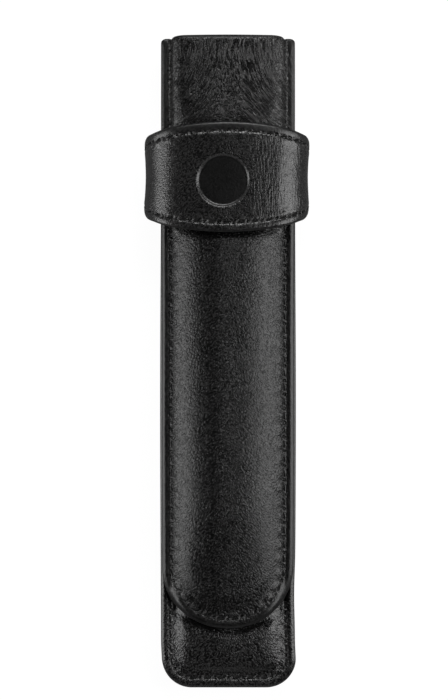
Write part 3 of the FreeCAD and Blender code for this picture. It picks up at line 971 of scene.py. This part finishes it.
def stitch_tree():
    """Stitches on points, which carry the directions along the seam and out of the leather."""
    tree = bpy.data.node_groups.new("stitch_row", "GeometryNodeTree")
    face = tree.interface
    face.new_socket("Geometry", in_out="INPUT", socket_type="NodeSocketGeometry")
    for name in ("Stitch Length", "Stitch Width", "Stitch Height", "Slant"):
        face.new_socket(name, in_out="INPUT", socket_type="NodeSocketFloat")
    face.new_socket("Seed", in_out="INPUT", socket_type="NodeSocketInt")
    face.new_socket("Thread", in_out="INPUT", socket_type="NodeSocketMaterial")
    face.new_socket("Geometry", in_out="OUTPUT", socket_type="NodeSocketGeometry")

    def node(kind, settings=None, values=None):
        return add_node(tree, kind, settings, values)

    given = node("NodeGroupInput").outputs
    ball = node("GeometryNodeMeshUVSphere", None, {"Segments": 8, "Rings": 5, "Radius": 0.5})
    size = node(
        "ShaderNodeCombineXYZ", None,
        {0: given["Stitch Length"], 1: given["Stitch Width"], 2: given["Stitch Height"]},
    )
    bar = node(
        "GeometryNodeTransform", None,
        {"Geometry": ball.outputs["Mesh"], "Scale": size.outputs[0]},
    )
    where = node("GeometryNodeInputPosition")
    parts = node("ShaderNodeSeparateXYZ", None, {0: where.outputs[0]})
    skew = node("ShaderNodeMath", {"operation": "ADD"}, {0: parts.outputs[0], 1: parts.outputs[1]})
    turns = node("ShaderNodeMath", {"operation": "MULTIPLY"}, {0: skew.outputs[0], 1: plies_per_m})
    marked = node(
        "GeometryNodeStoreNamedAttribute", {"data_type": "FLOAT", "domain": "POINT"},
        {"Geometry": bar.outputs[0], "Name": "ply", "Value": turns.outputs[0]},
    )
    vector = {"data_type": "FLOAT_VECTOR"}
    along = node("GeometryNodeInputNamedAttribute", vector, {"Name": "along"})
    out = node("GeometryNodeInputNamedAttribute", vector, {"Name": "out"})
    laid = node("FunctionNodeAlignRotationToVector", {"axis": "X"}, {"Vector": along.outputs[0]})
    faced = node(
        "FunctionNodeAlignRotationToVector", {"axis": "Z", "pivot_axis": "X"},
        {"Rotation": laid.outputs[0], "Vector": out.outputs[0]},
    )
    least_slant = node("ShaderNodeMath", {"operation": "MULTIPLY"}, {0: given["Slant"], 1: 0.5})
    lean = node(
        "FunctionNodeRandomValue", {"data_type": "FLOAT"},
        {2: least_slant.outputs[0], 3: given["Slant"], "Seed": given["Seed"]},
    )
    twist = node(
        "FunctionNodeAxisAngleToRotation", None,
        {"Axis": (0, 0, 1), "Angle": lean.outputs[1]},
    )
    turned = node(
        "FunctionNodeRotateRotation", {"rotation_space": "LOCAL"},
        {0: faced.outputs[0], 1: twist.outputs[0]},
    )
    sown = node(
        "GeometryNodeInstanceOnPoints", None,
        {"Points": given["Geometry"], "Instance": marked.outputs[0], "Rotation": turned.outputs[0]},
    )
    real = node("GeometryNodeRealizeInstances", None, {0: sown.outputs[0]})
    smooth = node("GeometryNodeSetShadeSmooth", None, {0: real.outputs[0]})
    dyed = node(
        "GeometryNodeSetMaterial", None,
        {"Geometry": smooth.outputs[0], "Material": given["Thread"]},
    )
    node("NodeGroupOutput", None, {0: dyed.outputs[0]})
    return tree


stitches = stitch_tree()
stitch_length, stitch_width, stitch_slant = 2.0, 0.5, 0.26


def stitch_row(name, places, along, out, seed, height=0.42):
    """A row of stitches made into one plain mesh."""
    mesh = bpy.data.meshes.new(name + "_points")
    mesh.from_pydata((belly(places) * MM).tolist(), [], [])
    store_vectors(mesh, "along", along)
    store_vectors(mesh, "out", out)
    piece = bpy.data.objects.new(name, mesh)
    bpy.context.scene.collection.objects.link(piece)
    sewing = piece.modifiers.new("sewing", "NODES")
    sewing.node_group = stitches
    inputs = {
        "Stitch Length": stitch_length * MM, "Stitch Width": stitch_width * MM,
        "Stitch Height": height * MM, "Slant": stitch_slant, "Seed": seed, "Thread": thread,
    }
    for item in stitches.interface.items_tree:
        if item.name in inputs:
            sewing[item.identifier] = inputs[item.name]
    view = bpy.context.evaluated_depsgraph_get()
    made = bpy.data.meshes.new_from_object(piece.evaluated_get(view))
    piece.modifiers.remove(sewing)
    piece.data = made
    made.name = name
    return piece


def unit(vectors):
    return vectors / np.linalg.norm(vectors, axis=-1, keepdims=True)


def surface_frame(height, x, y, dx, dy):
    """Places, directions and normals of stitches on a height surface."""
    step = 0.25
    sx = (height(x + step, y) - height(x - step, y)) / (2 * step)
    sy = (height(x, y + step) - height(x, y - step)) / (2 * step)
    out = unit(stack(-sx, -sy, np.ones_like(sx)))
    along = unit(stack(dx, dy, sx * dx + sy * dy))
    return stack(x, y, height(x, y)), along, out


def runs(limit):
    """Stitch middles between needle holes, both ways from a seam's middle."""
    half = (np.arange(int(limit / stitch_pitch)) + 0.5) * stitch_pitch
    return np.concatenate([-half[::-1], half])


def flap_bed(x, y):
    """Where the flap's thread lies."""
    return seam_z + flap_rim(x, 0.8) - low_drop(x, y) - thread_sink


def fold_bed(x, y):
    return flap_bed(x, y) - 2.6 * np.clip((y - fold_y) / 10.0, 0, 1) ** 3


def front_bed(x, y):
    return seam_z + rim_t - thread_sink + 0 * x


def hem_bed(x, y):
    return seam_z + front_out(x) - 0.02 + 0 * y


flap_seam = runs(tip_runs[-1] + fold_y + 9.0 - tip_side_y)
x, y, dx, dy = flap_seam_at(flap_seam)
on_fold = y > fold_y
flap_row = (part[~on_fold] for part in surface_frame(flap_bed, x, y, dx, dy))
flap_thread = stitch_row("flap_stitches", *flap_row, seed=3)
fold_row = (part[on_fold] for part in surface_frame(fold_bed, x, np.where(on_fold, y, 0), dx, dy))
fold_thread = stitch_row("fold_stitches", *fold_row, seed=4)

corner_run = half_w - corner_r + (corner_r - stitch_inset) * math.pi / 2
pouch_seam = runs(corner_run + mouth_y - 0.6 + half_l - corner_r)
x, y, dx, dy = pouch_seam_at(pouch_seam)
places, along, out = surface_frame(front_bed, x, y, dx, dy)
front_thread = stitch_row("front_seam_stitches", places, along, out, seed=5)
places[:, 2] = 2 * seam_z - places[:, 2]
low = y < fold_y - 2.0
back_thread = stitch_row("back_seam_stitches", places[low], along[low], -out[low], seed=6)

hem_x = np.array([-6.45, -2.15, 2.15, 6.45])
hem_y = np.full_like(hem_x, mouth_y - hem_inset)
hem_row = surface_frame(hem_bed, hem_x, hem_y, np.ones_like(hem_x), np.zeros_like(hem_x))
hem_thread = stitch_row("mouth_hem_stitches", *hem_row, seed=7, height=0.4)


def strap_stitches(name, up, seed):
    """Stitches along one edge of the loop, up 1 for the upper and -1 for the lower."""
    u = runs(strap_side + 2.0) - loop_stitch_shift
    u = np.append(u, u[-1] + stitch_pitch)

    def seam_point(u, lift):
        return strap_point(u, up * (strap_reach(u) - loop_stitch_inset), lift + 0 * u)

    step = 0.2
    along = unit(seam_point(u + step, 0) - seam_point(u - step, 0))
    tilt = strap_line(u)[2]
    out = stack(np.sin(tilt), 0 * u, np.cos(tilt))
    return stitch_row(name, seam_point(u, -loop_thread_sink), along, out, seed)


loop_upper = strap_stitches("loop_upper_stitches", up=1, seed=8)
loop_lower = strap_stitches("loop_lower_stitches", up=-1, seed=9)

# Which body each piece follows: back and flap have their place baked into their points and follow
# no body
for piece in (back, back_suede, fold_thread, back_thread):
    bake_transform(piece)
for piece in (flap, flap_suede, flap_foam, flap_thread):
    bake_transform(piece)
still = (front, front_suede, loop, loop_suede, front_thread, hem_thread, loop_upper, loop_lower)
for piece in still:
    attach(piece, "pouch")

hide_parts("tongue_leather")
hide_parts("tongue_lining")
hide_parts("tongue_padding")
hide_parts("tongue_seam_thread")
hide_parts("back_leather", "fold_leather")
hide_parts("back_lining", "fold_lining")
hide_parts("front_leather")
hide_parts("front_lining")
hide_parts("pouch_seam_thread")
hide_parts("mouth_hem_thread")
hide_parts("loop_leather")
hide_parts("loop_lining")
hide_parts("loop_upper_thread")
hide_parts("loop_lower_thread")


# Stage
def white_paper():
    """Floor that stays white to the camera and still takes a faint shadow."""
    mix = Recipe(bpy.data.materials.new("white_paper"))
    seen = mix.node("ShaderNodeLightPath")("Is Camera Ray")
    grain = mix.tint(mix.noise(mix.place(), 0.2), (0.24, 0.24, 0.24), (0.26, 0.26, 0.26))
    paper = mix.node("ShaderNodeBsdfDiffuse", None, {"Color": grain})(0)
    faint = mix.node("ShaderNodeBsdfDiffuse", None, {"Color": (0.1, 0.1, 0.1, 1)})(0)
    glow = mix.node("ShaderNodeEmission", None, {"Color": (0.96, 0.96, 0.96, 1)})(0)
    bright = mix.node("ShaderNodeAddShader", None, {0: faint, 1: glow})(0)
    shown = mix.node("ShaderNodeMixShader", None, {0: seen, 1: paper, 2: bright})(0)
    mix.node("ShaderNodeOutputMaterial", None, {"Surface": shown})
    return mix.holder


def studio():
    """World that is white to the camera, else a dim glow, less from above and from the far end."""
    mix = Recipe(bpy.data.worlds.new("studio"))
    white = (1, 1, 1, 1)
    _, ahead, up = mix.split(mix.node("ShaderNodeTexCoord")("Generated"))
    glow = up.between(0.1, 0.5, 0.25, 0.02) * ahead.between(0.2, 0.7, 1.0, 0.15)
    dim = mix.node("ShaderNodeBackground", None, {"Color": white, "Strength": glow})(0)
    bright = mix.node("ShaderNodeBackground", None, {"Color": white})(0)
    seen = mix.node("ShaderNodeLightPath")("Is Camera Ray")
    shown = mix.node("ShaderNodeMixShader", None, {0: seen, 1: dim, 2: bright})(0)
    mix.node("ShaderNodeOutputWorld", None, {"Surface": shown})
    return mix.holder


def soft_box(name, place, aim, width, length, power):
    """A soft rectangular lamp at a place, turned to what it is aimed at."""
    lamp = bpy.data.lights.new(name, "AREA")
    lamp.shape = "RECTANGLE"
    lamp.size, lamp.size_y = width, length
    lamp.energy = power
    box = bpy.data.objects.new(name, lamp)
    box.location = place
    box.rotation_euler = (Vector(aim) - Vector(place)).to_track_quat("-Z", "Y").to_euler()
    scene.collection.objects.link(box)


scene = bpy.context.scene
floor_half, floor_z = 3, -0.0002
corners = ((-1, -1), (1, -1), (1, 1), (-1, 1))
floor_points = [(a * floor_half, b * floor_half, floor_z) for a, b in corners]
floor_mesh = bpy.data.meshes.new("floor")
floor_mesh.from_pydata(floor_points, [], [(0, 1, 2, 3)])
floor_mesh.materials.append(white_paper())
floor = bpy.data.objects.new("floor", floor_mesh)
scene.collection.objects.link(floor)

scene.world = studio()
soft_box("left_box", (-0.62, -0.05, 0.14), (0, 0, 0.01), width=0.26, length=0.8, power=2.52)
soft_box("right_box", (0.58, 0.0, 0.40), (0, 0, 0.01), width=0.26, length=0.8, power=2.6)
soft_box("top_box", (0.06, 0.52, 0.55), (0, 0.05, 0.01), width=0.4, length=0.22, power=2.2)
soft_box("foot_box", (0.05, -0.75, 0.2), (0, -0.03, 0.01), width=0.6, length=0.25, power=0.1)

camera_data = bpy.data.cameras.new("camera")
camera_data.lens = 200.0
camera_data.sensor_width = 36.0
camera_data.clip_end = 20.0
camera = bpy.data.objects.new("camera", camera_data)
# Height of the view at the case's middle, and the point it is centred on
view_height = 0.1716
view_x, view_y, view_z = -0.98 * MM, 2.83 * MM, 10 * MM
distance = view_height * camera_data.lens / camera_data.sensor_width
camera.location = (view_x, view_y, view_z + distance)
scene.collection.objects.link(camera)
scene.camera = camera
scene.view_settings.view_transform = "Standard"
